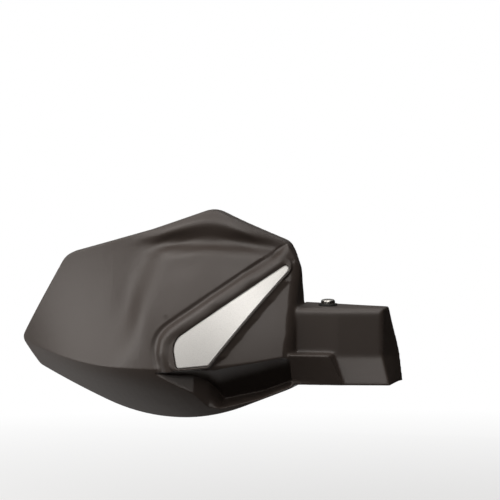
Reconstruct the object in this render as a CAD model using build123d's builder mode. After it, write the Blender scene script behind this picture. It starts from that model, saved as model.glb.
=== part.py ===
from build123d import *
import os
from math import hypot, sqrt

# Motorcycle hand guard for the right-hand end of a handlebar, in millimetres.
# The origin is on the bar axis at the middle of the clamp, +X runs inboard along
# the bar, -Y is forwards and +Z is up.

# Moulded shell: wall, rim and extent along the bar
WALL = 3.0
RIM_DEPTH = 12.0
OUTER_X = -247.0
FLANK_X = -24.0
FLANK_REAR_Y = -48.0
STATION_PITCH = 13.0
RIM_DEEPEN_X = -110.0
RIM_DEEP_X = -29.0
RIM_DEEP_Z = 28.0
RIM_SHALLOW_Z = 62.0
FLANK_ROUND = 6.0
FLANK_LIFT = 0.6
FLANK_LEVELS = [-50.0, -30.0, -14.0, 5.0, 25.0, 45.0, 75.0]

# How far a cutting body runs past what it cuts, and how far an outline is carried through
OVERCUT = 10.0
OVERLAP = 2.0
REACH = 200.0

# Belt: the most forward line of the shell, in plan and in height
NOSE_X = -85.0
NOSE_Y = -106.0
BELT_PLAN_R = 158.0
BELT_LOW_X = -160.0
BELT_LOW_Z = -23.0
BELT_RISE_OUTER_R = 285.0
BELT_RISE_INNER_R = 690.0

# Top edge: a roof line with a rounded peak, set back from the belt
PEAK_X = -91.0
PEAK_Z = 95.5
PEAK_R = 15.0
ROOF_SLOPE_OUTER = 0.36
ROOF_SLOPE_INNER = 0.48
TOP_Y = -64.0
TOP_PLAN_X = -100.0
TOP_PLAN_R = 266.0

# Keel: the lower edge, tucked under the belt
KEEL_X = -108.0
KEEL_Z = -61.0
KEEL_RISE_OUTER_R = 260.0
KEEL_RISE_INNER_R = 128.0
KEEL_Y = -90.0
KEEL_PLAN_X = -20.0
KEEL_PLAN_R = 376.0
TUCK = 1.35

# Scooped wing, knuckle bulge with its outer flank, and the rolled brow above it
SCOOP = 0.5
CROWN = 0.55
BULGE_LOW_X = -168.0
BULGE_TOP_X = -141.0
BULGE_FLANK = 19.0
VALLEY_Z = 71.5
VALLEY_R = 256.0
VALLEY_WIDTH = 8.0
BROW_DEPTH = 5.0
BROW_ROLL = 9.0
BROW_OUTER_X = -160.0
BROW_INNER_X = -28.0
BROW_RAMP = 45.0

# Outline of the shell, as corners seen from the front with a round at each
OUTLINE_CORNERS = [(FLANK_X, -35), (FLANK_X, 52), (-35, 71), (PEAK_X, 96), (-140, 78.3), (-209, 57),
                   (OUTER_X - 1, -9), (-231, -28), (-150, -59), (-92, -62)]
OUTLINE_ROUNDS = [3.0, 18.0, 13.0, 20.0, 60.0, 18.0, 6.0, 10.0, 150.0, 150.0]

# Trim panel as corners seen from the front, and how it sits in its raised surround
PANEL_CORNERS = [(-19.8, 65.4), (-84.5, -17.9), (-109.3, -20.9), (-113.9, -1.1)]
PANEL_ROUNDS = [2.8, 1.5, 2.5, 13.0]
PANEL_THICK = 2.4
PANEL_SINK = 0.5
PANEL_GAP = 0.4
PANEL_EDGE = 0.8
SURROUND_RISE = 3.5
SURROUND_GROW = 3.4
SURROUND_SHIFT = (-1.7, 1.35)

# Rolled bead along the upper side of the panel and round its outboard corner to the belt:
# how far its middle is from each side, and its profile as (outwards, height) over the skin
BEAD_OVER = 6.9
BEAD_OUT = 8.4
BEAD_PROFILE = [(-6.2, 2.6), (-3.4, 3.9), (0.4, 4.3), (3.4, 2.9), (6.2, -0.4), (4.8, -1.5), (-6.2, -1.5)]
BEAD_RUN = [0.0, 0.06, 0.25, 0.45, 0.67, 0.74, 0.8, 0.87, 1.0]
BEAD_FADE = 0.08
BEAD_START = 0.5
BEAD_TIP = 10.0
BEAD_TAIL = 5.0

# Slope on the inboard side of the panel
SLOPE_LIP = 1.6
SLOPE_RUN = 9.0
SLOPE_STEP = 0.8
SLOPE_SINK = 0.3
SLOPE_LEVELS = [-26.0, -11.0, 3.0, 17.0, 31.0, 44.0]

# Fasteners: screw, head and key radii, washers and the clearance round a shank
M6_R = 3.0
M6_HEAD_R = 5.0
M6_HEAD_H = 6.0
M6_KEY_R = 2.8
M6_BUTTON_R = 5.3
M6_BUTTON_H = 3.3
M6_BUTTON_KEY_R = 2.3
BUTTON_CROWN = 2.0
HEAD_CROWN = 0.6
M6_NUT_R = 5.7
M6_NUT_H = 5.0
M5_R = 2.5
M5_HEAD_R = 4.5
M5_HEAD_H = 3.0
M5_KEY_R = 1.7
WASHER_T = 1.2
WASHER_LIP = 1.2
SHANK_GAP = 0.3
THREAD_GAP = 0.1
SCREW_TAIL = 1.5

# Handlebar clamp in two halves split level with the bar, and the folded bracket on its front pad
BAR_R = 11.1
CLAMP_WIDTH = 24.0
CLAMP_HALF_Y = 25.5
CLAMP_ROUND_R = 15.5
CLAMP_EAR = 10.0
CLAMP_SPLIT = 0.5
CLAMP_SCREW_Y = 18.5
CLAMP_SCREW_L = 20.0
BRACKET_T = 3.0
BRACKET_BEND_R = 4.0
BRACKET_WIDTH = 32.0
BRACKET_TIP_Y = -66.0
BRACKET_SCREW_X = 8.0
BRACKET_SCREW_Z = 7.0
BRACKET_SCREW_L = 11.0
HOOD_SCREW_X = -4.5
HOOD_SCREW_Y = -55.0
HOOD_WASHER_R = 7.0
HOOD_WASHER_T = 1.5

# Trim panel pegs, as places seen from the front, and the push nuts behind the shell
PEGS = [(-97.0, -4.0), (-75.0, 12.0), (-50.0, 35.0)]
PEG_R = 2.0
PEG_PAD_R = 6.5
PEG_PAD_H = 4.0
PUSH_NUT_R = 5.5
PUSH_NUT_T = 1.0
PEG_TAIL = 2.5

# Bar end: the strap to the shell, the weight outside it and the expander inside the bar
BAR_END_X = -222.0
STRAP_T = 3.0
STRAP_HEIGHT = 18.0
STRAP_TAIL_Y = 10.0
STRAP_KNEE_Y = -26.0
STRAP_ANGLE = 35.0
STRAP_BEND_R = 9.0
STRAP_LENGTH = 50.0
STRAP_HOLES = [20.0, 40.0]
BOSS_R = 6.0
BOSS_REACH = 30.0
INSERT_R = 3.6
INSERT_L = 7.0
WEIGHT_R = 11.0
WEIGHT_L = 12.0
WEIGHT_BORE = 7.5
WEIGHT_CHAMFER = 2.0
SLEEVE_R = 8.0
SLEEVE_L = 30.0
EXPANDER_R = 7.6
EXPANDER_TIP_R = 6.0
EXPANDER_L = 10.0


def ramp(value):
    """Smooth step from 0 to 1 as value goes from 0 to 1."""
    v = min(1.0, max(0.0, value))
    return v * v * (3 - 2 * v)


def bow(x, x0, y0, r_outer, r_inner):
    """Parabola through its turning point, with a radius for each side of it."""
    radius = r_outer if x < x0 else r_inner
    return y0 + (x - x0) ** 2 / (2 * radius)


def belt_y(x):
    return bow(x, NOSE_X, NOSE_Y, BELT_PLAN_R, BELT_PLAN_R)


def belt_z(x):
    return bow(x, BELT_LOW_X, BELT_LOW_Z, BELT_RISE_OUTER_R, BELT_RISE_INNER_R)


def top_y(x):
    return bow(x, TOP_PLAN_X, TOP_Y, TOP_PLAN_R, TOP_PLAN_R)


def top_z(x):
    slope = ROOF_SLOPE_OUTER if x < PEAK_X else ROOF_SLOPE_INNER
    return PEAK_Z - slope * (hypot(x - PEAK_X, PEAK_R) - PEAK_R)


def keel_y(x):
    return bow(x, KEEL_PLAN_X, KEEL_Y, KEEL_PLAN_R, KEEL_PLAN_R)


def keel_z(x):
    return bow(x, KEEL_X, KEEL_Z, KEEL_RISE_OUTER_R, KEEL_RISE_INNER_R)


def valley_z(x):
    return bow(x, PEAK_X, VALLEY_Z, -VALLEY_R, -VALLEY_R)


def upper_point(x, t):
    """Front skin from the belt (t = 0) to the top edge (t = 1), as y and z."""
    z = belt_z(x) + (top_z(x) - belt_z(x)) * t
    bend = max(0.0, t * (1 - t))
    flank_x = BULGE_LOW_X + (BULGE_TOP_X - BULGE_LOW_X) * t
    bulge = ramp((x - flank_x) / BULGE_FLANK) * ramp((valley_z(x) - z) / VALLEY_WIDTH)
    lean = t + SCOOP * bend * (1 - bulge) - CROWN * bend * bulge
    crest = top_z(x) - BROW_ROLL
    brow = ramp((z - valley_z(x)) / max(BROW_ROLL, crest - valley_z(x))) * ramp((top_z(x) - z) / BROW_ROLL)
    brow *= ramp((x - BROW_OUTER_X) / BROW_RAMP) * ramp((BROW_INNER_X - x) / BROW_RAMP)
    return belt_y(x) + (top_y(x) - belt_y(x)) * lean - BROW_DEPTH * brow, z


def lower_point(x, s):
    """Front skin from the belt (s = 0) tucked under to the keel (s = 1), as y and z."""
    y = belt_y(x) + (keel_y(x) - belt_y(x)) * s ** TUCK
    return y, belt_z(x) + (keel_z(x) - belt_z(x)) * s


def skin_y(x, z):
    """Depth of the front skin at a place seen from the front."""
    if z > belt_z(x):
        return upper_point(x, (z - belt_z(x)) / (top_z(x) - belt_z(x)))[0]
    return lower_point(x, (belt_z(x) - z) / (belt_z(x) - keel_z(x)))[0]


UPPER_STEPS = [0, 0.1, 0.2, 0.3, 0.4, 0.5, 0.6, 0.68, 0.74, 0.78,
               0.82, 0.85, 0.88, 0.91, 0.94, 0.97, 1.0, 1.08]
LOWER_STEPS = [1.2, 1.0, 0.75, 0.5, 0.25, 0]


def rear_y(x, y, z):
    """Rear edge of the tray: a rim behind the skin, deepening to the flat inboard flank."""
    share = ramp((x - RIM_DEEPEN_X) / (RIM_DEEP_X - RIM_DEEPEN_X))
    share *= ramp((RIM_SHALLOW_Z - z) / (RIM_SHALLOW_Z - RIM_DEEP_Z))
    return y + RIM_DEPTH + share * max(0.0, FLANK_REAR_Y - RIM_DEPTH - y)


def slab(near, far=None, extra=0.0, start=OUTER_X):
    """Solid from the front skin set back by near to the skin set back by far,
    or to the tray's rear edge and extra where far is left out."""
    outer, inner = round((start - FLANK_X) / STATION_PITCH) - 1, 1
    with BuildPart() as body:
        for i in range(outer, inner + 1):
            x = FLANK_X + i * STATION_PITCH
            lower = [lower_point(x, s) for s in LOWER_STEPS]
            upper = [upper_point(x, t) for t in UPPER_STEPS]
            with BuildSketch(Plane.YZ.offset(x)):
                with BuildLine():
                    for run in (lower, upper):
                        Spline(*[(y + near, z) for y, z in run])
                    back = [(rear_y(x, y, z) + extra if far is None else y + far, z)
                            for y, z in lower[:-1] + upper]
                    Line((upper[-1][0] + near, upper[-1][1]), back[-1])
                    Spline(*reversed(back))
                    Line(back[0], (lower[0][0] + near, lower[0][1]))
                make_face()
        loft()
    return body.part


def rounded(corners, rounds, grow=0.0):
    """Front outline through corners with a round at each, grown outwards by grow."""
    with BuildSketch() as face:
        with BuildLine():
            FilletPolyline(*corners, radius=rounds, close=True)
        make_face()
        if grow:
            offset(amount=grow, mode=Mode.REPLACE)
    return face.sketch


def outline(inset=0.0):
    return rounded(OUTLINE_CORNERS, OUTLINE_ROUNDS, -inset)


def cut_to(body, *faces):
    """The part of a slab inside every one of the front outlines."""
    with BuildPart() as piece:
        add(body)
        with BuildSketch(Plane.XZ):
            add(faces[0])
            for face in faces[1:]:
                add(face, mode=Mode.INTERSECT)
        extrude(amount=REACH, both=True, mode=Mode.INTERSECT)
    return piece.part


# Air scoop under the trim panel: V sections along the bar, each with its place, the heights
# of its upper and lower edges, its depth and the share of the way down to its valley
SCOOP_SECTIONS = [
    (-127.0, -25.2, -26.6, 1.0, 0.3),
    (-98.8, -22.4, -40.0, 9.0, 0.25),
    (-88.5, -21.9, -50.4, 15.0, 0.35),
    (-80.0, -21.3, -51.8, 22.0, 0.82),
    (-50.0, -15.6, -44.0, 24.0, 0.85),
    (FLANK_X + OVERLAP, -10.4, -32.6, 20.0, 0.85),
]


def scoop(push=0.0):
    """Air scoop cut, pushed in by the wall for the hollow behind it."""
    with BuildPart() as body:
        for x, high, low, depth, share in SCOOP_SECTIONS:
            valley = high + (low - high) * share
            upper_y, lower_y = skin_y(x, high), skin_y(x, low)
            with BuildSketch(Plane.YZ.offset(x)):
                with BuildLine():
                    Polyline((upper_y - OVERCUT, high + push), (upper_y, high + push),
                             (skin_y(x, valley) + depth + push, valley), (lower_y, low - push),
                             (lower_y - OVERCUT, low - push), close=True)
                make_face()
        loft(ruled=True)
    return body.part


# Hood at the inboard end, a box open to the rear: plan corners at three heights
HOOD_TOP_Z = 24.0
HOOD_CREASE_Z = -12.0
HOOD_LOW_Z = -33.0
HOOD_START_X = FLANK_X - OVERLAP
HOOD_START_Y = -80.0
HOOD_KNEE_X = 8.0
HOOD_KNEE_Y = -77.5
HOOD_END_X = 41.0
HOOD_END_Y = -70.0
HOOD_REAR_Y = -33.0
HOOD_TOP_REAR_Y = -48.0
HOOD_FLARE_X = 7.0
HOOD_FLARE_Y = 7.0
HOOD_SPLAY = 4.5
HOOD_ROUND = 4.0

# Ledge along the foot of the hood, a step in front of it
LEDGE_Z = -9.5
LEDGE_START_Y = -95.0
LEDGE_END_X = 4.5
LEDGE_END_Y = -91.0
LEDGE_RAKE = 9.5
LEDGE_REAR_Y = -53.0


def stacked(levels):
    """Solid with flat sides through plan outlines, each a height and its corners."""
    with BuildPart() as body:
        for z, corners in levels:
            with BuildSketch(Plane.XY.offset(z)):
                with BuildLine():
                    Polyline(*corners, close=True)
                make_face()
        loft(ruled=True)
    return body.part


def hood_plan(inset, rear, end_rear, flare, splay):
    """Plan of the hood: flare widens its foot, and splay its end towards the rear."""
    end_x = HOOD_END_X + HOOD_FLARE_X * flare - inset
    forward = HOOD_FLARE_Y * flare - inset
    return [(HOOD_START_X + inset, HOOD_START_Y - forward), (HOOD_KNEE_X, HOOD_KNEE_Y - forward),
            (end_x, HOOD_END_Y - forward), (end_x + splay, end_rear), (HOOD_START_X + inset, rear)]


def hood(inset, back=0.0):
    rear = HOOD_REAR_Y + back
    return stacked([
        (HOOD_LOW_Z + inset, hood_plan(inset, rear, rear, 1, 0)),
        (HOOD_CREASE_Z, hood_plan(inset, rear, rear, 0, HOOD_SPLAY)),
        (HOOD_TOP_Z - inset, hood_plan(inset, rear, HOOD_TOP_REAR_Y + back, 0, 0)),
    ])


def ledge(inset):
    start_x = HOOD_START_X + inset
    end_x = LEDGE_END_X - inset
    foot_y = HOOD_KNEE_Y - HOOD_FLARE_Y + inset
    return stacked([
        (HOOD_LOW_Z + inset, [(start_x, foot_y), (end_x + LEDGE_RAKE, foot_y),
                              (end_x + LEDGE_RAKE, LEDGE_REAR_Y), (start_x, LEDGE_REAR_Y)]),
        (LEDGE_Z - inset, [(start_x, LEDGE_START_Y + inset), (end_x, LEDGE_END_Y + inset),
                           (end_x, LEDGE_REAR_Y), (start_x, LEDGE_REAR_Y)]),
    ])


def bead():
    """Rolled bead laid on the skin along the upper and outboard sides of the trim panel."""
    tip, low, foot, corner = [Vector(x, z) for x, z in PANEL_CORNERS]
    along, down = (corner - tip).normalized(), (foot - corner).normalized()
    over, out = Vector(along.Y, -along.X), Vector(down.Y, -down.X)
    same = over.dot(out)
    corner += (over * (BEAD_OVER - BEAD_OUT * same) + out * (BEAD_OUT - BEAD_OVER * same)) / (1 - same ** 2)
    with BuildLine() as rail:
        FilletPolyline(tip + along * BEAD_TIP + over * BEAD_OVER, corner,
                       foot + down * BEAD_TAIL + out * BEAD_OUT, radius=PANEL_ROUNDS[3] + BEAD_OVER)
    with BuildPart() as body:
        for share in BEAD_RUN:
            point, tangent = rail.line @ share, rail.line % share
            side = Vector(tangent.Y, -tangent.X)
            rise = ramp(BEAD_START + share / BEAD_FADE)
            across = Plane((point.X, 0, point.Y), (side.X, 0, side.Y), (-tangent.X, 0, -tangent.Y))
            with BuildSketch(across):
                with BuildLine():
                    Polyline(*[(u, max(h, 0) * rise + min(h, 0)
                                - skin_y(point.X + side.X * u, point.Y + side.Y * u))
                               for u, h in BEAD_PROFILE], close=True)
                make_face()
        loft(ruled=True)
    return body.part


def slope():
    """Slope from the surround down to the facet inboard of the trim panel."""
    (tip_x, tip_z), (low_x, low_z) = PANEL_CORNERS[:2]
    with BuildPart() as body:
        for z in SLOPE_LEVELS:
            edge = low_x + (z - low_z) * (tip_x - low_x) / (tip_z - low_z)
            start, lip, foot = edge - SURROUND_GROW, edge + SLOPE_LIP, edge + SLOPE_RUN
            rise = SURROUND_RISE - SLOPE_STEP
            with BuildSketch(Plane.XY.offset(z)):
                with BuildLine():
                    Polyline((start, skin_y(start, z) - rise), (lip, skin_y(lip, z) - rise),
                             (foot, skin_y(foot, z) + SLOPE_SINK), (foot, skin_y(foot, z) + WALL / 2),
                             (start, skin_y(start, z) + WALL / 2), close=True)
                make_face()
        loft(ruled=True)
    return body.part


def flank_round():
    """Cut that rounds the upright edge between the front skin and the flank."""
    with BuildPart() as body:
        for z in FLANK_LEVELS:
            start = FLANK_X - FLANK_ROUND
            near, end = skin_y(start, z) - FLANK_LIFT, skin_y(FLANK_X, z) + FLANK_ROUND
            bend = FLANK_ROUND * (1 - sqrt(0.5))
            with BuildSketch(Plane.XY.offset(z)):
                with BuildLine():
                    ThreePointArc((start, near), (FLANK_X - bend, end - FLANK_ROUND + bend), (FLANK_X, end))
                    Polyline((FLANK_X, end), (FLANK_X + OVERCUT, end), (FLANK_X + OVERCUT, near - OVERCUT),
                             (start, near - OVERCUT), (start, near))
                make_face()
        loft(ruled=True)
    return body.part


with BuildPart() as skin:
    add(cut_to(slab(0.0), outline()))
    add(flank_round(), mode=Mode.SUBTRACT)

surround_start = min(x for x, z in PANEL_CORNERS) - SURROUND_GROW - SURROUND_RISE
panel_floor = PANEL_SINK + PANEL_THICK - SURROUND_RISE
plateau = Pos(*SURROUND_SHIFT) * rounded(PANEL_CORNERS, PANEL_ROUNDS, SURROUND_GROW)
raised = cut_to(slab(-SURROUND_RISE, far=WALL / 2, start=surround_start), outline(), plateau)
panel_pocket = cut_to(slab(-SURROUND_RISE - OVERCUT, far=panel_floor, start=surround_start),
                      rounded(PANEL_CORNERS, PANEL_ROUNDS, PANEL_GAP))
main_hollow = cut_to(slab(WALL, extra=OVERCUT), outline(WALL))

with BuildPart() as surround:
    add(raised)
    add(cut_to(bead(), outline()))
    add(cut_to(slope(), outline()))
    add(panel_pocket, mode=Mode.SUBTRACT)

with BuildPart() as hollow:
    add(main_hollow)
    add(scoop(WALL), mode=Mode.SUBTRACT)
    add(hood(WALL, OVERCUT))
    add(ledge(WALL))

with BuildPart() as hood_box:
    add(hood(0))
    front_rim = hood_box.faces().sort_by(Axis.Z)[-1].edges().sort_by(Axis.Y)[:2]
    end_edges = hood_box.edges().sort_by_distance((HOOD_END_X, HOOD_END_Y, HOOD_TOP_Z / 2))[:1]
    fillet(front_rim + end_edges, radius=HOOD_ROUND)

with BuildPart() as trim_plate:
    add(cut_to(slab(PANEL_SINK - SURROUND_RISE, far=panel_floor, start=surround_start),
               rounded(PANEL_CORNERS, PANEL_ROUNDS)))
    front_edges = []
    for edge in trim_plate.edges():
        middle = edge.center()
        if middle.Y < skin_y(middle.X, middle.Z) + panel_floor - PANEL_THICK / 2:
            front_edges.append(edge)
    chamfer(front_edges, length=PANEL_EDGE)


def screw(seat, shank_r, length, head_r, head_h, key_r, crown_r):
    """Socket screw in the open part; seat is the plane under its head, facing out."""
    with BuildSketch(seat) as head:
        Circle(head_r)
    extrude(head.sketch, amount=head_h)
    fillet(edges(Select.LAST).sort_by(Axis(seat.origin, seat.z_dir))[-1], radius=crown_r)
    with BuildSketch(seat.offset(head_h)) as key:
        RegularPolygon(key_r, 6)
    extrude(key.sketch, amount=-head_h / 2, mode=Mode.SUBTRACT)
    with BuildSketch(seat) as shank:
        Circle(shank_r)
    extrude(shank.sketch, amount=-length)


def ring(seat, outer_r, bore_r, thick):
    """Washer, nut or tube in the open part, standing on seat."""
    with BuildSketch(seat) as section:
        Circle(outer_r)
        Circle(bore_r, mode=Mode.SUBTRACT)
    extrude(section.sketch, amount=thick)


def drill(seat, radius, depth):
    """Hole in the open part, from seat against its facing."""
    with BuildSketch(seat) as hole:
        Circle(radius)
    extrude(hole.sketch, amount=-depth, mode=Mode.SUBTRACT)


def peg_seat(x, z, back):
    """Plane behind the front skin by back, facing the rider."""
    return Plane(origin=(x, skin_y(x, z) + back, z), x_dir=(-1, 0, 0), z_dir=(0, 1, 0))


def strap_seat(along, back):
    """Plane on the strap's slanted leg, back behind its middle, facing the rider."""
    turn = Plane.XZ.rotated((0, 0, -STRAP_ANGLE))
    knee = Vector(BAR_END_X - STRAP_T / 2, STRAP_KNEE_Y, 0)
    return Plane(origin=knee + turn.x_dir * along - turn.z_dir * back, x_dir=-turn.x_dir, z_dir=-turn.z_dir)


def bar_plane(x, facing):
    """Plane across the bar axis."""
    return Plane(origin=(x, 0, 0), x_dir=(0, 1, 0), z_dir=(facing, 0, 0))


peg_seats = [peg_seat(x, z, WALL + PEG_PAD_H) for x, z in PEGS]
boss_seats = [strap_seat(along, -STRAP_T / 2) for along in STRAP_HOLES]
strap_rear_seats = [strap_seat(along, STRAP_T / 2) for along in STRAP_HOLES]
bracket_face_y = -CLAMP_HALF_Y - BRACKET_T
bracket_seats = [Plane(origin=(x, bracket_face_y, BRACKET_SCREW_Z), x_dir=(1, 0, 0), z_dir=(0, -1, 0))
                 for x in (-BRACKET_SCREW_X, BRACKET_SCREW_X)]
clamp_seats = [Plane(origin=(0, y, -CLAMP_EAR), x_dir=(1, 0, 0), z_dir=(0, 0, -1))
               for y in (-CLAMP_SCREW_Y, CLAMP_SCREW_Y)]
hood_seat = Plane(origin=(HOOD_SCREW_X, HOOD_SCREW_Y, HOOD_TOP_Z))
tab_top_z = HOOD_TOP_Z - WALL
strap_outer_x = BAR_END_X - STRAP_T

with BuildPart() as bosses:
    for seat in peg_seats:
        with BuildSketch(seat):
            Circle(PEG_PAD_R)
        extrude(amount=-BOSS_REACH)
    for seat in boss_seats:
        with BuildSketch(seat):
            Circle(BOSS_R)
        extrude(amount=-BOSS_REACH)
    add(slab(WALL / 2, far=2 * BOSS_REACH), mode=Mode.INTERSECT)

with BuildPart() as guard_shell:
    add(skin.part)
    add(surround.part)
    add(scoop(), mode=Mode.SUBTRACT)
    add(hood_box.part)
    add(ledge(0))
    add(hollow.part, mode=Mode.SUBTRACT)
    add(bosses.part)
    for seat in peg_seats:
        drill(seat, PEG_R + SHANK_GAP, WALL + PEG_PAD_H + OVERCUT)
    for seat in boss_seats:
        drill(seat, INSERT_R, INSERT_L)
    drill(hood_seat, M6_R + SHANK_GAP, WALL)

with BuildPart() as trim_panel:
    add(trim_plate.part)
    for seat in peg_seats:
        with BuildSketch(seat.offset(PUSH_NUT_T + PEG_TAIL)):
            Circle(PEG_R)
        extrude(amount=-(PUSH_NUT_T + PEG_TAIL + PEG_PAD_H + WALL - panel_floor + PANEL_THICK / 2))

with BuildPart() as trim_push_nuts:
    for seat in peg_seats:
        ring(seat, PUSH_NUT_R, PEG_R + THREAD_GAP, PUSH_NUT_T)

with BuildPart() as hood_washer:
    ring(hood_seat, HOOD_WASHER_R, M6_R + SHANK_GAP, HOOD_WASHER_T)

with BuildPart() as hood_screw:
    hood_grip = HOOD_WASHER_T + WALL + BRACKET_T + M6_NUT_H + SCREW_TAIL
    screw(hood_seat.offset(HOOD_WASHER_T), M6_R, hood_grip,
          M6_BUTTON_R, M6_BUTTON_H, M6_BUTTON_KEY_R, BUTTON_CROWN)

with BuildPart() as hood_nut:
    with BuildSketch(hood_seat.offset(-WALL - BRACKET_T)):
        RegularPolygon(M6_NUT_R, 6)
        Circle(M6_R + THREAD_GAP, mode=Mode.SUBTRACT)
    extrude(amount=-M6_NUT_H)

with BuildPart() as inner_bracket:
    with BuildSketch(Plane.YZ.offset(-BRACKET_WIDTH / 2)):
        with BuildLine():
            Polyline((-CLAMP_HALF_Y, CLAMP_SPLIT), (-CLAMP_HALF_Y, tab_top_z), (BRACKET_TIP_Y, tab_top_z),
                     (BRACKET_TIP_Y, tab_top_z - BRACKET_T), (bracket_face_y, tab_top_z - BRACKET_T),
                     (bracket_face_y, CLAMP_SPLIT), close=True)
        make_face()
    extrude(amount=BRACKET_WIDTH)
    folds = inner_bracket.edges().filter_by(Axis.X)
    fillet(folds.sort_by_distance((0, bracket_face_y, tab_top_z - BRACKET_T))[0], radius=BRACKET_BEND_R)
    fillet(inner_bracket.edges().filter_by(Axis.X).sort_by_distance((0, -CLAMP_HALF_Y, tab_top_z))[0],
           radius=BRACKET_BEND_R + BRACKET_T)
    fillet(inner_bracket.edges().filter_by(Axis.Z).group_by(Axis.Y)[0], radius=BRACKET_BEND_R)
    drill(hood_seat, M6_R + SHANK_GAP, OVERCUT)
    for seat in bracket_seats:
        drill(seat, M6_R + SHANK_GAP, BRACKET_T)

with BuildPart() as bracket_washers:
    for seat in bracket_seats:
        ring(seat, M6_HEAD_R + WASHER_LIP, M6_R + SHANK_GAP, WASHER_T)

with BuildPart() as bracket_screws:
    for seat in bracket_seats:
        screw(seat.offset(WASHER_T), M6_R, BRACKET_SCREW_L,
              M6_BUTTON_R, M6_BUTTON_H, M6_BUTTON_KEY_R, BUTTON_CROWN)

with BuildPart() as clamp_upper:
    with BuildSketch(Plane.YZ):
        Circle(CLAMP_ROUND_R)
        with Locations((0, CLAMP_EAR / 2)):
            Rectangle(2 * CLAMP_HALF_Y, CLAMP_EAR)
        with Locations((-CLAMP_HALF_Y / 2, CLAMP_ROUND_R / 2)):
            Rectangle(CLAMP_HALF_Y, CLAMP_ROUND_R)
        with Locations((0, CLAMP_SPLIT - CLAMP_ROUND_R)):
            Rectangle(2 * CLAMP_HALF_Y, 2 * CLAMP_ROUND_R, mode=Mode.SUBTRACT)
        Circle(BAR_R, mode=Mode.SUBTRACT)
    extrude(amount=CLAMP_WIDTH / 2, both=True)
    for seat in bracket_seats:
        drill(seat, M6_R + THREAD_GAP, BRACKET_SCREW_L - WASHER_T + SCREW_TAIL)
    for seat in clamp_seats:
        drill(seat, M6_R + THREAD_GAP, CLAMP_SCREW_L - WASHER_T + SCREW_TAIL)

with BuildPart() as clamp_lower:
    with BuildSketch(Plane.YZ):
        Circle(CLAMP_ROUND_R)
        with Locations((0, -CLAMP_EAR / 2)):
            Rectangle(2 * CLAMP_HALF_Y, CLAMP_EAR)
        with Locations((0, CLAMP_ROUND_R - CLAMP_SPLIT)):
            Rectangle(2 * CLAMP_HALF_Y, 2 * CLAMP_ROUND_R, mode=Mode.SUBTRACT)
        Circle(BAR_R, mode=Mode.SUBTRACT)
    extrude(amount=CLAMP_WIDTH / 2, both=True)
    for seat in clamp_seats:
        drill(seat, M6_R + SHANK_GAP, CLAMP_EAR)

with BuildPart() as clamp_washers:
    for seat in clamp_seats:
        ring(seat, M6_HEAD_R + WASHER_LIP, M6_R + SHANK_GAP, WASHER_T)

with BuildPart() as clamp_screws:
    for seat in clamp_seats:
        screw(seat.offset(WASHER_T), M6_R, CLAMP_SCREW_L, M6_HEAD_R, M6_HEAD_H, M6_KEY_R, HEAD_CROWN)

with BuildPart() as boss_inserts:
    for seat in boss_seats:
        ring(seat, INSERT_R, M5_R + THREAD_GAP, -INSERT_L)

with BuildPart() as end_strap:
    with BuildLine():
        knee = Vector(BAR_END_X - STRAP_T / 2, STRAP_KNEE_Y, 0)
        FilletPolyline((knee.X, STRAP_TAIL_Y, 0), knee, strap_seat(STRAP_LENGTH, 0).origin,
                       radius=STRAP_BEND_R)
    with BuildSketch(Plane(origin=(knee.X, STRAP_TAIL_Y, 0), x_dir=(1, 0, 0), z_dir=(0, -1, 0))):
        Rectangle(STRAP_T, STRAP_HEIGHT)
    sweep()
    drill(bar_plane(BAR_END_X, 1), M6_R + SHANK_GAP, STRAP_T)
    for seat in strap_rear_seats:
        drill(seat, M5_R + SHANK_GAP, STRAP_T)

with BuildPart() as strap_washers:
    for seat in strap_rear_seats:
        ring(seat, M5_HEAD_R + WASHER_LIP, M5_R + SHANK_GAP, WASHER_T)

with BuildPart() as strap_screws:
    for seat in strap_rear_seats:
        screw(seat.offset(WASHER_T), M5_R, WASHER_T + STRAP_T + INSERT_L - SCREW_TAIL,
              M5_HEAD_R, M5_HEAD_H, M5_KEY_R, HEAD_CROWN)

weight_seat_x = strap_outer_x - WEIGHT_L + WEIGHT_BORE

with BuildPart() as bar_end_weight:
    ring(bar_plane(strap_outer_x, -1), WEIGHT_R, M6_R + SHANK_GAP, WEIGHT_L)
    chamfer(bar_end_weight.edges().group_by(Axis.X)[0].sort_by(SortBy.RADIUS)[-1], length=WEIGHT_CHAMFER)
    drill(bar_plane(strap_outer_x - WEIGHT_L, -1), M6_HEAD_R + WASHER_LIP + SHANK_GAP, WEIGHT_BORE)

with BuildPart() as bar_end_washer:
    ring(bar_plane(weight_seat_x, -1), M6_HEAD_R + WASHER_LIP, M6_R + SHANK_GAP, WASHER_T)

with BuildPart() as bar_end_bolt:
    bolt_reach = BAR_END_X + SLEEVE_L + EXPANDER_L + SCREW_TAIL - weight_seat_x + WASHER_T
    screw(bar_plane(weight_seat_x - WASHER_T, -1), M6_R, bolt_reach,
          M6_HEAD_R, M6_HEAD_H, M6_KEY_R, HEAD_CROWN)

with BuildPart() as expander_sleeve:
    ring(bar_plane(BAR_END_X, 1), SLEEVE_R, M6_R + SHANK_GAP, SLEEVE_L)

with BuildPart() as expander_nut:
    with BuildSketch(bar_plane(BAR_END_X + SLEEVE_L, 1)):
        Circle(EXPANDER_R)
    with BuildSketch(bar_plane(BAR_END_X + SLEEVE_L + EXPANDER_L, 1)):
        Circle(EXPANDER_TIP_R)
    loft()
    drill(bar_plane(BAR_END_X + SLEEVE_L + EXPANDER_L, 1), M6_R + THREAD_GAP, EXPANDER_L)

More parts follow.
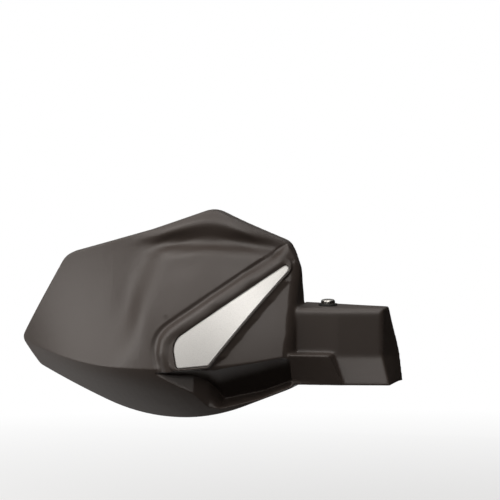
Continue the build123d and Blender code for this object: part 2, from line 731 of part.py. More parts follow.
PIECES = {
    "guard_shell": guard_shell, "trim_panel": trim_panel, "trim_push_nuts": trim_push_nuts,
    "hood_screw": hood_screw, "hood_washer": hood_washer, "hood_nut": hood_nut,
    "inner_bracket": inner_bracket, "bracket_washers": bracket_washers, "bracket_screws": bracket_screws,
    "clamp_upper": clamp_upper, "clamp_lower": clamp_lower, "clamp_washers": clamp_washers,
    "clamp_screws": clamp_screws, "boss_inserts": boss_inserts, "end_strap": end_strap,
    "strap_washers": strap_washers, "strap_screws": strap_screws, "bar_end_weight": bar_end_weight,
    "bar_end_washer": bar_end_washer, "bar_end_bolt": bar_end_bolt, "expander_sleeve": expander_sleeve,
    "expander_nut": expander_nut,
}

os.makedirs("parts", exist_ok=True)
for name, piece in PIECES.items():
    piece.part.label = name
    export_step(piece.part, f"parts/{name}.step")
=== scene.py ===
from math import cos, pi, radians, sin

import bmesh
import bpy
import numpy as np
from mathutils import Matrix, Vector


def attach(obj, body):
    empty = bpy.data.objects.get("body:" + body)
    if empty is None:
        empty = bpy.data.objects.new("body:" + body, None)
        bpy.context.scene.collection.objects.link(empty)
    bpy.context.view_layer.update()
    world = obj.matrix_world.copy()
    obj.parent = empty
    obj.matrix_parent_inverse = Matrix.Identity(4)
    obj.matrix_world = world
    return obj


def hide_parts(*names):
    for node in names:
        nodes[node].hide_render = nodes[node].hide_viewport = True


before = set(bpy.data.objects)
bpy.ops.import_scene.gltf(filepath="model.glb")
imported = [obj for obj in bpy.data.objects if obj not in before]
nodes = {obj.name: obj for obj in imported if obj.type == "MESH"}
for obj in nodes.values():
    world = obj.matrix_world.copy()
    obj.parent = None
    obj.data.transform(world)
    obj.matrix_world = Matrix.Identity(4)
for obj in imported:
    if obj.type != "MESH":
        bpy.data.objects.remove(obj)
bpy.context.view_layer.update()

# Guard shell: one thin injection moulding in black ABS with a fine spark-eroded grain.
# The tool rounds its edges, so the solid is drawn again as an even skin, relaxed in and out by
# turns so that it keeps its size, rounded further at the hood and the bead, and thinned.
scene = bpy.context.scene
MM = 0.001
MERGE_WITHIN = 0.002 * MM
SHELL_VOXEL = 0.6 * MM
SHELL_RELAX = 8
RELAX_FACTORS = (0.5, -0.52)
RELAX_STEPS = 2
SHELL_KEPT = 0.23
ROUNDING_FACTOR = 0.5
HOOD_FROM = -30 * MM
HOOD_REAR = -38 * MM
HOOD_BLEND = 6 * MM
HOOD_ROUNDING = 56
VALLEY_START = (-35.0, 69.0)
VALLEY_CORNER = (-132.0, 1.3)
VALLEY_END = (-124.5, -26.0)
VALLEY_BEND = 16.0
VALLEY_BEND_POINTS = 12
VALLEY_HALF = 3.4 * MM
VALLEY_DEPTH = 1.3 * MM
VALLEY_FADE = 8 * MM
BEAD_RISE = 0.75 * MM
BEAD_MID = 6.8 * MM
BEAD_HALF = 5.0 * MM
BEAD_ROUNDING = 64
BEAD_SOFT_MID = 6.0 * MM
BEAD_SOFT_HALF = 6.4 * MM
BEAD_SOFT_EDGE = 1.6 * MM
FRONT_FACING = 0.3
ABS_BLACK = "#352D28"
ABS_BLACK_WORN = "#3B332E"
ABS_FLOW = 60 * MM
ABS_ROUGHNESS = (0.42, 0.56)
# A real grain is about 0.1 mm across, so it is drawn coarser in order to show.
ABS_GRAIN = 0.9 * MM
ABS_GRAIN_HEIGHT = 0.08 * MM


def linear(hex_code):
    """An sRGB hex colour as the linear RGBA that a socket takes."""
    channels = [int(hex_code[i:i + 2], 16) / 255 for i in (1, 3, 5)]
    return [c / 12.92 if c <= 0.04045 else ((c + 0.055) / 1.055) ** 2.4 for c in channels] + [1.0]


def new_material(name):
    """An empty node material, as the material and its tree."""
    material = bpy.data.materials.new(name)
    material.use_nodes = True
    tree = material.node_tree
    tree.nodes.clear()
    return material, tree


def add_node(tree, kind, settings=None, inputs=None, links=None):
    """A node with its settings, its fixed inputs and its linked inputs."""
    node = tree.nodes.new(kind)
    for key, value in (settings or {}).items():
        setattr(node, key, value)
    for key, value in (inputs or {}).items():
        node.inputs[key].default_value = value
    for key, socket in (links or {}).items():
        tree.links.new(socket, node.inputs[key])
    return node


def surface(tree, tone_by, colours, gloss_by, roughness, body, relief=None):
    """The end of a material: one pattern mixes two colours, one sets the gloss and the relief."""
    tone = add_node(tree, "ShaderNodeMix", {"data_type": "RGBA"},
                    {"A": linear(colours[0]), "B": linear(colours[1])}, {"Factor": tone_by})
    sheen = add_node(tree, "ShaderNodeMapRange",
                     inputs={"To Min": roughness[0], "To Max": roughness[1]},
                     links={"Value": gloss_by})
    shader = add_node(tree, "ShaderNodeBsdfPrincipled", inputs=body,
                      links={"Base Color": tone.outputs["Result"],
                             "Roughness": sheen.outputs["Result"]})
    if relief:
        bump = add_node(tree, "ShaderNodeBump", inputs=relief, links={"Height": gloss_by})
        tree.links.new(bump.outputs["Normal"], shader.inputs["Normal"])
    add_node(tree, "ShaderNodeOutputMaterial", links={"Surface": shader.outputs["BSDF"]})


def dress(piece, material):
    """The piece shows this material and no other."""
    piece.data.materials.clear()
    piece.data.materials.append(material)


def settle(piece):
    """The piece with its modifiers taken into its mesh."""
    graph = bpy.context.evaluated_depsgraph_get()
    mesh = bpy.data.meshes.new_from_object(piece.evaluated_get(graph))
    piece.modifiers.clear()
    piece.data = mesh
    return piece


def vertex_rows(piece, field):
    """A vector that each vertex of the piece has, as rows of an array."""
    rows = np.empty(len(piece.data.vertices) * 3)
    piece.data.vertices.foreach_get(field, rows)
    return rows.reshape(-1, 3)


def round_off(piece, name, weights, turns):
    """The piece smoothed by as many turns where its weights are above nothing."""
    group = piece.vertex_groups.new(name=name)
    for index in np.flatnonzero(weights > 0).tolist():
        group.add([index], weights[index], "REPLACE")
    rounding = piece.modifiers.new(name, "SMOOTH")
    rounding.vertex_group = name
    rounding.factor = ROUNDING_FACTOR
    rounding.iterations = turns
    return settle(piece)


# Moulded ABS, black with a trace of brown: a broad soft sheen, and a grain that breaks it up.
abs_black, tree = new_material("abs_black_moulded_grain")
place = add_node(tree, "ShaderNodeTexCoord")
grain = add_node(tree, "ShaderNodeTexNoise",
                 inputs={"Scale": 1 / ABS_GRAIN, "Detail": 3.0, "Roughness": 0.6},
                 links={"Vector": place.outputs["Object"]})
flow = add_node(tree, "ShaderNodeTexNoise", inputs={"Scale": 1 / ABS_FLOW, "Detail": 2.0},
                links={"Vector": place.outputs["Object"]})
surface(tree, flow.outputs["Fac"], (ABS_BLACK, ABS_BLACK_WORN), grain.outputs["Fac"],
        ABS_ROUGHNESS, {"IOR": 1.5}, {"Strength": 0.12, "Distance": ABS_GRAIN_HEIGHT})

work = bmesh.new()
work.from_mesh(nodes["guard_shell"].data)
bmesh.ops.remove_doubles(work, verts=work.verts, dist=MERGE_WITHIN)
shell_mesh = bpy.data.meshes.new("moulded_shell")
work.to_mesh(shell_mesh)
work.free()
shell = bpy.data.objects.new("moulded_shell", shell_mesh)
scene.collection.objects.link(shell)
skin = shell.modifiers.new("skin", "REMESH")
skin.mode = "VOXEL"
skin.voxel_size = SHELL_VOXEL
skin.use_smooth_shade = True
for turn in range(SHELL_RELAX):
    for factor in RELAX_FACTORS:
        relax = shell.modifiers.new("relax", "SMOOTH")
        relax.factor = factor
        relax.iterations = RELAX_STEPS
settle(shell)

# The hood's edges are rounder than the rest, away from its open rear rim.
spots = vertex_rows(shell, "co")
inside = np.minimum(spots[:, 0] - HOOD_FROM, HOOD_REAR - spots[:, 1])
round_off(shell, "hood", np.clip(inside / HOOD_BLEND, 0, 1), HOOD_ROUNDING)

# The bead round the panel is broad and soft, with a narrow valley along its outer foot. Both
# follow one line on the face, given in X and Z: two straights joined by a bend.
first, corner, last = [np.array(point) for point in (VALLEY_START, VALLEY_CORNER, VALLEY_END)]
enter = corner + (first - corner) * VALLEY_BEND / np.linalg.norm(first - corner)
leave = corner + (last - corner) * VALLEY_BEND / np.linalg.norm(last - corner)
bend = [(1 - k) ** 2 * enter + 2 * k * (1 - k) * corner + k ** 2 * leave
        for k in np.linspace(0, 1, VALLEY_BEND_POINTS)]
line = np.array([first, *bend, last]) * MM
spots = vertex_rows(shell, "co")
inward = -vertex_rows(shell, "normal")
nearest = np.full(len(spots), np.inf)
side = np.zeros(len(spots))
reached = np.zeros(len(spots))
gone = 0.0
for a, b in zip(line[:-1], line[1:]):
    span = np.linalg.norm(b - a)
    out = spots[:, (0, 2)] - a
    share = np.clip((out @ (b - a)) / span ** 2, 0, 1)
    away = np.linalg.norm(out - share[:, None] * (b - a), axis=1)
    closer = away < nearest
    turned = np.sign((b[0] - a[0]) * out[:, 1] - (b[1] - a[1]) * out[:, 0])
    side = np.where(closer, turned, side)
    reached = np.where(closer, gone + share * span, reached)
    nearest = np.minimum(nearest, away)
    gone += span
fade = np.clip(np.minimum(reached, gone - reached) / VALLEY_FADE, 0, 1)
to_panel = nearest * side
sink = VALLEY_DEPTH * np.clip(1 - (nearest / VALLEY_HALF) ** 2, 0, 1) ** 2
rise = BEAD_RISE * np.clip(1 - ((to_panel - BEAD_MID) / BEAD_HALF) ** 2, 0, 1) ** 2
moved = (sink - rise) * fade * (inward[:, 1] > FRONT_FACING)
shell.data.vertices.foreach_set("co", (spots + inward * moved[:, None]).ravel())
soft = np.clip((BEAD_SOFT_HALF - np.abs(to_panel - BEAD_SOFT_MID)) / BEAD_SOFT_EDGE, 0, 1)
round_off(shell, "bead", soft * fade, BEAD_ROUNDING)

shell.vertex_groups.clear()
thinned = shell.modifiers.new("thinned", "DECIMATE")
thinned.ratio = SHELL_KEPT
settle(shell)
shell.data.shade_smooth()
dress(shell, abs_black)
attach(shell, "root")
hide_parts("guard_shell")

# Boss inserts: knurled brass bushes, turned from bar and pressed hot into the shell's bosses.
# The strap's screws run into them.
BRASS = "#B8964F"
BRASS_DULL = "#9C7E43"
BRASS_PATCH = 2 * MM
BRASS_ROUGHNESS = (0.25, 0.4)

# Turned brass: a warm yellow metal with a satin gloss, a little duller in patches.
brass, tree = new_material("turned_brass")
place = add_node(tree, "ShaderNodeTexCoord")
tarnish = add_node(tree, "ShaderNodeTexNoise", inputs={"Scale": 1 / BRASS_PATCH, "Detail": 3.0},
                   links={"Vector": place.outputs["Object"]})
surface(tree, tarnish.outputs["Fac"], (BRASS, BRASS_DULL), tarnish.outputs["Fac"],
        BRASS_ROUGHNESS, {"Metallic": 1.0})
dress(nodes["boss_inserts"], brass)

# Trim panel: a thin moulded plate, sprayed silver and let into the shell's raised surround.
# Three pegs on its back go through the shell.
SILVER = "#D8D7D4"
SILVER_LOW = "#C8C7C4"
SILVER_ROUGHNESS = (0.34, 0.46)
# Real flake is a few hundredths of a millimetre across, so it is drawn coarser in order to show.
SILVER_FLAKE = 0.6 * MM

# Silver paint: bright flake in a clear binder, so it is half a metal, with a soft even gloss.
silver_paint, tree = new_material("silver_paint_on_abs")
place = add_node(tree, "ShaderNodeTexCoord")
flake = add_node(tree, "ShaderNodeTexVoronoi", inputs={"Scale": 1 / SILVER_FLAKE},
                 links={"Vector": place.outputs["Object"]})
surface(tree, flake.outputs["Distance"], (SILVER, SILVER_LOW), flake.outputs["Distance"],
        SILVER_ROUGHNESS, {"Metallic": 0.35, "IOR": 1.5})
dress(nodes["trim_panel"], silver_paint)

# Push nuts: stamped spring-steel discs, zinc plated, with a toothed bore that grips a peg.
# One is pressed onto each of the panel's pegs behind the shell.
ZINC = "#B9B7B2"
ZINC_DULL = "#8F8D89"
ZINC_CLOUD = 2.5 * MM
ZINC_ROUGHNESS = (0.2, 0.36)
CREASE = radians(35)
PEG_SEATS = [(-97, -95.479, -4), (-75, -91.734, 12), (-50, -79.041, 35)]
PUSH_NUT = {"Outer radius": 5.5, "Bore": 2.1, "Slit reach": 3.6, "Thickness": 1.0}
PUNCH_REACH = 5 * MM

# Bright zinc plate: a pale cool metal with faint cloudy spangle.
zinc_steel, tree = new_material("bright_zinc_plated_steel")
place = add_node(tree, "ShaderNodeTexCoord")
cloud = add_node(tree, "ShaderNodeTexNoise", inputs={"Scale": 1 / ZINC_CLOUD, "Detail": 4.0},
                 links={"Vector": place.outputs["Object"]})
surface(tree, cloud.outputs["Fac"], (ZINC_DULL, ZINC), cloud.outputs["Fac"],
        ZINC_ROUGHNESS, {"Metallic": 1.0})


def new_tree(name, sizes):
    """A geometry node tree with seats and named sizes going in, its start and its end."""
    tree = bpy.data.node_groups.new(name, "GeometryNodeTree")
    tree.interface.new_socket("Seats", in_out="INPUT", socket_type="NodeSocketGeometry")
    for size in sizes:
        tree.interface.new_socket(size, in_out="INPUT", socket_type="NodeSocketFloat")
    tree.interface.new_socket("Pieces", in_out="OUTPUT", socket_type="NodeSocketGeometry")
    return tree, add_node(tree, "NodeGroupInput").outputs, add_node(tree, "NodeGroupOutput")


def raise_by(tree, mesh, length, share):
    """The mesh moved up its axis by a share of a length."""
    height = add_node(tree, "ShaderNodeMath", {"operation": "MULTIPLY"}, {1: share}, {0: length})
    way = add_node(tree, "ShaderNodeCombineXYZ", links={"Z": height.outputs["Value"]})
    raised = add_node(tree, "GeometryNodeTransform",
                      links={"Geometry": mesh, "Translation": way.outputs["Vector"]})
    return raised.outputs["Geometry"]


def set_on_seats(tree, size, end, part, material):
    """The last nodes of a tree: the part on every seat, turned to face out, as dressed mesh."""
    facing = add_node(tree, "GeometryNodeInputNamedAttribute", {"data_type": "FLOAT_VECTOR"},
                      {"Name": "facing"})
    turn = add_node(tree, "FunctionNodeAlignRotationToVector", {"axis": "Z"},
                    links={"Vector": facing.outputs["Attribute"]})
    copies = add_node(tree, "GeometryNodeInstanceOnPoints",
                      links={"Points": size["Seats"], "Instance": part,
                             "Rotation": turn.outputs["Rotation"]})
    plain = add_node(tree, "GeometryNodeRealizeInstances",
                     links={"Geometry": copies.outputs["Instances"]})
    dressed = add_node(tree, "GeometryNodeSetMaterial", inputs={"Material": material},
                       links={"Geometry": plain.outputs["Geometry"]})
    tree.links.new(dressed.outputs["Geometry"], end.inputs["Pieces"])


def grow(tree, name, node_name, seats, facing, sizes):
    """The zinc-plated pieces that a tree sets on these seats, in place of a CAD node."""
    mesh = bpy.data.meshes.new(name)
    mesh.from_pydata([[c * MM for c in seat] for seat in seats], [], [])
    facings = mesh.attributes.new("facing", "FLOAT_VECTOR", "POINT")
    facings.data.foreach_set("vector", list(facing) * len(seats))
    piece = bpy.data.objects.new(name, mesh)
    scene.collection.objects.link(piece)
    growth = piece.modifiers.new(name, "NODES")
    growth.node_group = tree
    for socket in tree.interface.items_tree:
        if socket.name in sizes:
            growth[socket.identifier] = sizes[socket.name] * MM
    settle(piece)
    piece.data.shade_smooth()
    piece.data.set_sharp_from_angle(angle=CREASE)
    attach(piece, "root")
    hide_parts(node_name)


# A disc with a six-pointed star punched through it, which leaves the teeth.
push_nuts, size, end = new_tree("push_nuts", list(PUSH_NUT))
disc = add_node(push_nuts, "GeometryNodeMeshCylinder", inputs={"Vertices": 48},
                links={"Radius": size["Outer radius"], "Depth": size["Thickness"]})
raised = raise_by(push_nuts, disc.outputs["Mesh"], size["Thickness"], 0.5)
teeth = add_node(push_nuts, "GeometryNodeCurveStar", inputs={"Points": 6},
                 links={"Inner Radius": size["Bore"], "Outer Radius": size["Slit reach"]})
through = add_node(push_nuts, "GeometryNodeCurvePrimitiveLine",
                   inputs={"Start": (0, 0, -PUNCH_REACH), "End": (0, 0, PUNCH_REACH)})
punch = add_node(push_nuts, "GeometryNodeCurveToMesh", inputs={"Fill Caps": True},
                 links={"Curve": through.outputs["Curve"], "Profile Curve": teeth.outputs["Curve"]})
punched = add_node(push_nuts, "GeometryNodeMeshBoolean", {"operation": "DIFFERENCE"},
                   links={"Mesh 1": raised, "Mesh 2": punch.outputs["Mesh"]})
set_on_seats(push_nuts, size, end, punched.outputs["Mesh"], zinc_steel)
grow(push_nuts, "toothed_push_nuts", "trim_push_nuts", PEG_SEATS, (0, 1, 0), PUSH_NUT)

# Bracket and strap: steel sheet and bar, cut, punched, bent and powder coated black.
# The bracket holds the hood to the clamp, and the strap ties the shell's outer end to the
# bar end.
POWDER_BLACK = "#1D1C1B"
POWDER_BLACK_HIGH = "#252423"
POWDER_PEEL = 1.2 * MM
POWDER_PEEL_HEIGHT = 0.1 * MM
POWDER_ROUGHNESS = (0.38, 0.5)

# Black powder coat: a dense black with a low satin gloss and a fine orange peel.
powder_black, tree = new_material("black_powder_coat_on_steel")
place = add_node(tree, "ShaderNodeTexCoord")
peel = add_node(tree, "ShaderNodeTexNoise", inputs={"Scale": 1 / POWDER_PEEL, "Detail": 2.0},
                links={"Vector": place.outputs["Object"]})
surface(tree, peel.outputs["Fac"], (POWDER_BLACK, POWDER_BLACK_HIGH), peel.outputs["Fac"],
        POWDER_ROUGHNESS, {"IOR": 1.5}, {"Strength": 0.15, "Distance": POWDER_PEEL_HEIGHT})
for name in ("inner_bracket", "end_strap"):
    dress(nodes[name], powder_black)

# Clamp halves and expander nut: aluminium castings, shot blasted, with the bores machined.
# The halves close round the bar, and the nut draws the rubber sleeve up inside it.
CAST_GREY = "#A3A19D"
CAST_GREY_LOW = "#85837F"
CAST_ROUGHNESS = (0.45, 0.65)
# Shot leaves pits of about 0.3 mm, which are drawn coarser in order to show.
CAST_SAND = 0.7 * MM
CAST_SAND_HEIGHT = 0.1 * MM

# Blasted cast aluminium: a soft grey metal with an even sandy skin and almost no mirror.
cast_aluminium, tree = new_material("shot_blasted_cast_aluminium")
place = add_node(tree, "ShaderNodeTexCoord")
sand = add_node(tree, "ShaderNodeTexNoise",
                inputs={"Scale": 1 / CAST_SAND, "Detail": 5.0, "Roughness": 0.65},
                links={"Vector": place.outputs["Object"]})
surface(tree, sand.outputs["Fac"], (CAST_GREY_LOW, CAST_GREY), sand.outputs["Fac"],
        CAST_ROUGHNESS, {"Metallic": 1.0}, {"Strength": 0.25, "Distance": CAST_SAND_HEIGHT})
for name in ("clamp_upper", "clamp_lower", "expander_nut"):
    dress(nodes[name], cast_aluminium)

# Bar-end weight: a steel slug turned from bar and blackened in hot oxide.
# It plugs the end of the bar and carries the strap's outer end.
OXIDE_BLACK = "#3A3937"
OXIDE_BLACK_HIGH = "#4B4946"
OXIDE_ROUGHNESS = (0.3, 0.42)
# A tool leaves rings about 0.2 mm apart. Drawn in order to show, they are nearly 4 mm apart,
# as a wave texture repeats about three times in the length that its scale is worked out from.
OXIDE_RINGS = 12 * MM

# Black oxide on turned steel: a dark metal with faint rings left by the tool.
oxide_steel, tree = new_material("black_oxide_turned_steel")
place = add_node(tree, "ShaderNodeTexCoord")
rings = add_node(tree, "ShaderNodeTexWave", {"wave_type": "BANDS", "bands_direction": "X"},
                 {"Scale": 1 / OXIDE_RINGS, "Distortion": 0.4, "Detail": 2.0},
                 {"Vector": place.outputs["Object"]})
surface(tree, rings.outputs["Fac"], (OXIDE_BLACK, OXIDE_BLACK_HIGH), rings.outputs["Fac"],
        OXIDE_ROUGHNESS, {"Metallic": 1.0})
dress(nodes["bar_end_weight"], oxide_steel)

# Rubber washer and expander sleeve: moulded black rubber. The washer lies under the hood's screw,
# and the sleeve swells inside the bar when its bolt is drawn up.
RUBBER_BLACK = "#181716"
RUBBER_BLOOM = "#232221"
RUBBER_PATCH = 4 * MM
RUBBER_ROUGHNESS = (0.65, 0.8)

# Moulded rubber: nearly black and dull, with a faint dusty bloom.
rubber, tree = new_material("moulded_black_rubber")
place = add_node(tree, "ShaderNodeTexCoord")
bloom = add_node(tree, "ShaderNodeTexNoise", inputs={"Scale": 1 / RUBBER_PATCH, "Detail": 4.0},
                 links={"Vector": place.outputs["Object"]})
surface(tree, bloom.outputs["Fac"], (RUBBER_BLACK, RUBBER_BLOOM), bloom.outputs["Fac"],
        RUBBER_ROUGHNESS, {"IOR": 1.5})
for name in ("hood_washer", "expander_sleeve"):
    dress(nodes[name], rubber)

# Washers and the hood's nut: steel, the washers stamped and the nut cold formed, and all
# zinc plated like the push nuts. A washer lies under each screw head that bears on metal.
for name in ("hood_nut", "bracket_washers", "clamp_washers", "strap_washers", "bar_end_washer"):
    dress(nodes[name], zinc_steel)

# Screws: cold-headed steel with a hexagon socket and a rolled thread, zinc plated.
# Button heads hold the hood and the bracket, cap heads the clamp and the bar end, and low
# heads the strap.
M6_BUTTON = {"Head radius": 5.3, "Head height": 3.3, "Crown": 2.0, "Key radius": 2.3,
             "Shank radius": 3.0, "Pitch": 1.0}
M6_CAP = {"Head radius": 5.0, "Head height": 6.0, "Crown": 0.6, "Key radius": 2.8,
          "Shank radius": 3.0, "Pitch": 1.0}
M5_LOW = {"Head radius": 4.5, "Head height": 3.0, "Crown": 0.6, "Key radius": 1.7,
          "Shank radius": 2.5, "Pitch": 0.8}
HOOD_SEATS = [(-4.5, -55, 25.5)]
BRACKET_SEATS = [(-8, -29.7, 7), (8, -29.7, 7)]
CLAMP_SEATS = [(0, -18.5, -11.2), (0, 18.5, -11.2)]
STRAP_SEATS = [(-205.569, -35.26, 0), (-189.186, -46.731, 0)]
STRAP_FACING = (0.5736, 0.8192, 0)
BAR_END_SEATS = [(-230.7, 0, 0)]
THREAD_DEPTH = 0.25 * MM
STEPS_PER_TURN = 6


def narrow(tree, mesh, position, width):
    """The mesh drawn in towards its axis, to a share of its width."""
    share = add_node(tree, "ShaderNodeCombineXYZ", inputs={"Z": 1.0},
                     links={"X": width, "Y": width})
    drawn = add_node(tree, "ShaderNodeVectorMath", {"operation": "MULTIPLY"},
                     links={0: position, 1: share.outputs["Vector"]})
    narrowed = add_node(tree, "GeometryNodeSetPosition",
                        links={"Geometry": mesh, "Position": drawn.outputs["Vector"]})
    return narrowed.outputs["Geometry"]


screws, size, end = new_tree("socket_screws", ["Head radius", "Head height", "Crown", "Key radius",
                                               "Shank radius", "Length", "Pitch"])
spot = add_node(screws, "GeometryNodeInputPosition")
axes = add_node(screws, "ShaderNodeSeparateXYZ", links={"Vector": spot.outputs["Position"]})

# The head: a cylinder whose rim is drawn in along a quarter circle, with a hexagon sunk in its top.
blank = add_node(screws, "GeometryNodeMeshCylinder",
                 inputs={"Vertices": 48, "Side Segments": 16, "Fill Segments": 8},
                 links={"Radius": size["Head radius"], "Depth": size["Head height"]})
raised = raise_by(screws, blank.outputs["Mesh"], size["Head height"], 0.5)
shoulder = add_node(screws, "ShaderNodeMath", {"operation": "SUBTRACT"},
                    links={0: size["Head height"], 1: size["Crown"]})
climb = add_node(screws, "ShaderNodeMapRange",
                 links={"Value": axes.outputs["Z"], "From Min": shoulder.outputs["Value"],
                        "From Max": size["Head height"]})
quarter = add_node(screws, "ShaderNodeMath", {"operation": "ARCSINE"},
                   links={0: climb.outputs["Result"]})
kept = add_node(screws, "ShaderNodeMath", {"operation": "COSINE"},
                links={0: quarter.outputs["Value"]})
lost = add_node(screws, "ShaderNodeMath", {"operation": "SUBTRACT"}, {0: 1.0},
                {1: kept.outputs["Value"]})
ratio = add_node(screws, "ShaderNodeMath", {"operation": "DIVIDE"},
                 links={0: size["Crown"], 1: size["Head radius"]})
inset = add_node(screws, "ShaderNodeMath", {"operation": "MULTIPLY"},
                 links={0: lost.outputs["Value"], 1: ratio.outputs["Value"]})
width = add_node(screws, "ShaderNodeMath", {"operation": "SUBTRACT"}, {0: 1.0},
                 {1: inset.outputs["Value"]})
crowned = narrow(screws, raised, spot.outputs["Position"], width.outputs["Value"])
key = add_node(screws, "GeometryNodeMeshCylinder", inputs={"Vertices": 6},
               links={"Radius": size["Key radius"], "Depth": size["Head height"]})
key_raised = raise_by(screws, key.outputs["Mesh"], size["Head height"], 1.0)
head = add_node(screws, "GeometryNodeMeshBoolean", {"operation": "DIFFERENCE"},
                links={"Mesh 1": crowned, "Mesh 2": key_raised})

# The shank: a cylinder whose radius rises and falls once for each pitch and each turn.
turns = add_node(screws, "ShaderNodeMath", {"operation": "DIVIDE"},
                 links={0: size["Length"], 1: size["Pitch"]})
steps = add_node(screws, "ShaderNodeMath", {"operation": "MULTIPLY"}, {1: STEPS_PER_TURN},
                 {0: turns.outputs["Value"]})
rod = add_node(screws, "GeometryNodeMeshCylinder", inputs={"Vertices": 24},
               links={"Radius": size["Shank radius"], "Depth": size["Length"],
                      "Side Segments": steps.outputs["Value"]})
lowered = raise_by(screws, rod.outputs["Mesh"], size["Length"], -0.5)
angle = add_node(screws, "ShaderNodeMath", {"operation": "ARCTAN2"},
                 links={0: axes.outputs["Y"], 1: axes.outputs["X"]})
turned = add_node(screws, "ShaderNodeMath", {"operation": "DIVIDE"}, {1: 2 * pi},
                  {0: angle.outputs["Value"]})
along = add_node(screws, "ShaderNodeMath", {"operation": "DIVIDE"},
                 links={0: axes.outputs["Z"], 1: size["Pitch"]})
phase = add_node(screws, "ShaderNodeMath", {"operation": "ADD"},
                 links={0: along.outputs["Value"], 1: turned.outputs["Value"]})
wave = add_node(screws, "ShaderNodeMath", {"operation": "PINGPONG"}, {1: 0.5},
                {0: phase.outputs["Value"]})
cut = add_node(screws, "ShaderNodeMath", {"operation": "DIVIDE"}, {0: 2 * THREAD_DEPTH},
               {1: size["Shank radius"]})
groove = add_node(screws, "ShaderNodeMath", {"operation": "MULTIPLY"},
                  links={0: wave.outputs["Value"], 1: cut.outputs["Value"]})
girth = add_node(screws, "ShaderNodeMath", {"operation": "SUBTRACT"}, {0: 1.0},
                 {1: groove.outputs["Value"]})
shank = narrow(screws, lowered, spot.outputs["Position"], girth.outputs["Value"])
screw = add_node(screws, "GeometryNodeJoinGeometry", links={"Geometry": head.outputs["Mesh"]})
screws.links.new(shank, screw.inputs["Geometry"])
set_on_seats(screws, size, end, screw.outputs["Geometry"], zinc_steel)

for name, node_name, seats, facing, kind, length in (
        ("hood_button_screw", "hood_screw", HOOD_SEATS, (0, 0, 1), M6_BUTTON, 14.0),
        ("bracket_button_screws", "bracket_screws", BRACKET_SEATS, (0, -1, 0), M6_BUTTON, 11.0),
        ("clamp_cap_screws", "clamp_screws", CLAMP_SEATS, (0, 0, -1), M6_CAP, 20.0),
        ("strap_low_screws", "strap_screws", STRAP_SEATS, STRAP_FACING, M5_LOW, 9.7),
        ("bar_end_cap_bolt", "bar_end_bolt", BAR_END_SEATS, (-1, 0, 0), M6_CAP, 50.2)):
    grow(screws, name, node_name, seats, facing, {**kind, "Length": length})

# Studio: a pale paper floor, a white background and six soft boxes above and in front. Black
# cloth flags that the camera doesn't see give the black plastic something dark to mirror. The
# camera has a long lens and stands a little inboard of the guard and a little above it.
VIEW_AZIMUTH = radians(12.7)
VIEW_ELEVATION = radians(6.0)
FRAME_WIDTH = 375 * MM
CAMERA_DISTANCE = 16.0
CAMERA_REACH = 100.0
SENSOR_WIDTH = 36.0
FRAME_CENTRE_RIGHT = -75 * MM
FRAME_CENTRE_UP = 60 * MM
MID_DEPTH = -55 * MM

right = Vector((cos(VIEW_AZIMUTH), sin(VIEW_AZIMUTH), 0))
ahead = Vector((-sin(VIEW_AZIMUTH) * cos(VIEW_ELEVATION),
                cos(VIEW_AZIMUTH) * cos(VIEW_ELEVATION), -sin(VIEW_ELEVATION)))
above = right.cross(ahead)
target = right * FRAME_CENTRE_RIGHT + above * FRAME_CENTRE_UP + ahead * MID_DEPTH

lens = bpy.data.cameras.new("camera")
lens.sensor_width = SENSOR_WIDTH
lens.lens = SENSOR_WIDTH * CAMERA_DISTANCE / FRAME_WIDTH
lens.clip_end = CAMERA_REACH
camera = bpy.data.objects.new("camera", lens)
scene.collection.objects.link(camera)
camera.matrix_world = Matrix.Translation(target - ahead * CAMERA_DISTANCE) @ Matrix(
    (right, above, -ahead)).transposed().to_4x4()
scene.camera = camera

# The soft boxes: name, place, aim, width and height in metres, and power in watts.
LAMP_WHITE = "#FFFBF7"
SOFT_BOXES = (
    ("key_softbox", (-0.8, -0.6, 0.9), (-0.12, -0.07, 0.0), 0.6, 0.6, 5.6),
    ("front_softbox", (-0.1, -1.2, 0.45), (-0.12, -0.07, 0.0), 0.8, 0.5, 3.4),
    ("left_softbox", (-1.2, -0.4, 0.22), (-0.15, -0.07, 0.0), 0.6, 0.4, 4.8),
    ("right_softbox", (0.35, -0.45, 1.1), (-0.08, -0.07, 0.0), 0.5, 0.5, 2.8),
    ("strip_softbox", (0.12, -0.8, 0.8), (-0.08, -0.07, 0.0), 0.3, 0.8, 2.4),
    ("overhead_softbox", (-0.1, 0.15, 1.2), (-0.1, -0.05, 0.0), 1.0, 0.6, 1.0),
)
for name, place, aim, width, height, power in SOFT_BOXES:
    box = bpy.data.lights.new(name, "AREA")
    box.shape = "RECTANGLE"
    box.size = width
    box.size_y = height
    box.energy = power
    box.color = linear(LAMP_WHITE)[:3]
    lamp = bpy.data.objects.new(name, box)
    lamp.location = place
    lamp.rotation_euler = (Vector(aim) - Vector(place)).to_track_quat("-Z", "Y").to_euler()
    scene.collection.objects.link(lamp)

# The floor is paper. It shows white far off, and keeps the guard's shadow close by.
FLOOR_Z = -160 * MM
FLOOR_CORNERS = ((-20, -25), (20, 20))
PAPER_WHITE = "#EDEDED"
WHITE = "#FFFFFF"
SHADOW_NEAR = 0.25
SHADOW_FAR = 0.9
SHADOW_GLOW = 0.55


def sheet(name, corners, material):
    """A flat stage piece through four corners."""
    mesh = bpy.data.meshes.new(name)
    mesh.from_pydata(corners, [], [(0, 1, 2, 3)])
    mesh.materials.append(material)
    piece = bpy.data.objects.new(name, mesh)
    scene.collection.objects.link(piece)
    return piece


def level(corners, z):
    """The four corners of a level sheet that faces up, from two opposite ones."""
    (x0, y0), (x1, y1) = corners
    return [(x0, y0, z), (x1, y0, z), (x1, y1, z), (x0, y1, z)]


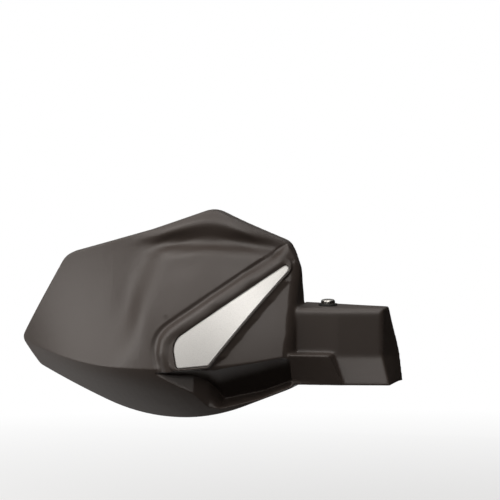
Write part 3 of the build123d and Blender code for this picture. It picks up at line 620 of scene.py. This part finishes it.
def seen_or_mirrored(tree):
    """One where a ray comes from the camera, a mirror or glass, and otherwise nothing."""
    rays = add_node(tree, "ShaderNodeLightPath")
    mirror = add_node(tree, "ShaderNodeMath", {"operation": "MAXIMUM"},
                      links={0: rays.outputs["Is Glossy Ray"],
                             1: rays.outputs["Is Transmission Ray"]})
    direct = add_node(tree, "ShaderNodeMath", {"operation": "MAXIMUM"},
                      links={0: rays.outputs["Is Camera Ray"], 1: mirror.outputs["Value"]})
    return direct.outputs["Value"]


floor_paper, tree = new_material("white_paper_sweep")
place = add_node(tree, "ShaderNodeTexCoord")
reach = add_node(tree, "ShaderNodeVectorMath", {"operation": "LENGTH"},
                 links={"Vector": place.outputs["Object"]})
far = add_node(tree, "ShaderNodeMapRange",
               inputs={"From Min": SHADOW_NEAR, "From Max": SHADOW_FAR,
                       "To Min": SHADOW_GLOW, "To Max": 1.0},
               links={"Value": reach.outputs["Value"]})
share = add_node(tree, "ShaderNodeMath", {"operation": "MULTIPLY"},
                 links={0: far.outputs["Result"], 1: seen_or_mirrored(tree)})
paper = add_node(tree, "ShaderNodeBsdfDiffuse", inputs={"Color": linear(PAPER_WHITE)})
glow = add_node(tree, "ShaderNodeEmission", inputs={"Color": linear(WHITE), "Strength": 1.0})
seen = add_node(tree, "ShaderNodeMixShader",
                links={"Fac": share.outputs["Value"], 1: paper.outputs["BSDF"],
                       2: glow.outputs["Emission"]})
add_node(tree, "ShaderNodeOutputMaterial", links={"Surface": seen.outputs["Shader"]})
sheet("floor", level(FLOOR_CORNERS, FLOOR_Z), floor_paper)

# The flags are black on the side that faces the guard, and clear from behind, so that their
# backs leave no mark on the floor. Level ones lie just above it, from one corner to the opposite
# one. Upright ones stand on it, from one foot to the other, and have a height for their top.
FLAG_BLACK = "#0A0A0A"
LEVEL_FLAGS = {"floor_flag": ((-2, -1.1), (2, -0.1)), "rear_floor_flag": ((0, 0), (0.6, 0.7))}
UPRIGHT_FLAGS = {"front_flag": ((2, -1.1), (-2, -1.1), 0.45),
                 "left_flag": ((-1.3, -0.4), (-1.3, 0.9), 0.7),
                 "right_flag": ((0.6, 1.0), (0.6, -1.1), 1.2),
                 "back_flag": ((-1.6, 0.7), (0.6, 0.7), 0.5)}

flag_cloth, tree = new_material("black_flag_cloth")
face = add_node(tree, "ShaderNodeNewGeometry")
cloth = add_node(tree, "ShaderNodeBsdfDiffuse", inputs={"Color": linear(FLAG_BLACK)})
clear = add_node(tree, "ShaderNodeBsdfTransparent", inputs={"Color": linear(WHITE)})
seen = add_node(tree, "ShaderNodeMixShader",
                links={"Fac": face.outputs["Backfacing"], 1: cloth.outputs["BSDF"],
                       2: clear.outputs["BSDF"]})
add_node(tree, "ShaderNodeOutputMaterial", links={"Surface": seen.outputs["Shader"]})
flags = {name: level(corners, FLOOR_Z + MM) for name, corners in LEVEL_FLAGS.items()}
for name, (start, stop, top) in UPRIGHT_FLAGS.items():
    flags[name] = [(*start, FLOOR_Z), (*stop, FLOOR_Z), (*stop, top), (*start, top)]
for name, corners in flags.items():
    flag = sheet(name, corners, flag_cloth)
    flag.visible_camera = False
    flag.visible_shadow = False

# The background is white to the eye and in mirrors, and lights the guard only a little.
FILL_STRENGTH = 0.2
world = bpy.data.worlds.new("studio")
world.use_nodes = True
scene.world = world
tree = world.node_tree
tree.nodes.clear()
dim = add_node(tree, "ShaderNodeBackground",
               inputs={"Color": linear(WHITE), "Strength": FILL_STRENGTH})
white = add_node(tree, "ShaderNodeBackground", inputs={"Color": linear(WHITE), "Strength": 1.0})
seen = add_node(tree, "ShaderNodeMixShader",
                links={"Fac": seen_or_mirrored(tree), 1: dim.outputs["Background"],
                       2: white.outputs["Background"]})
add_node(tree, "ShaderNodeOutputWorld", links={"Surface": seen.outputs["Shader"]})

scene.view_settings.view_transform = "Standard"
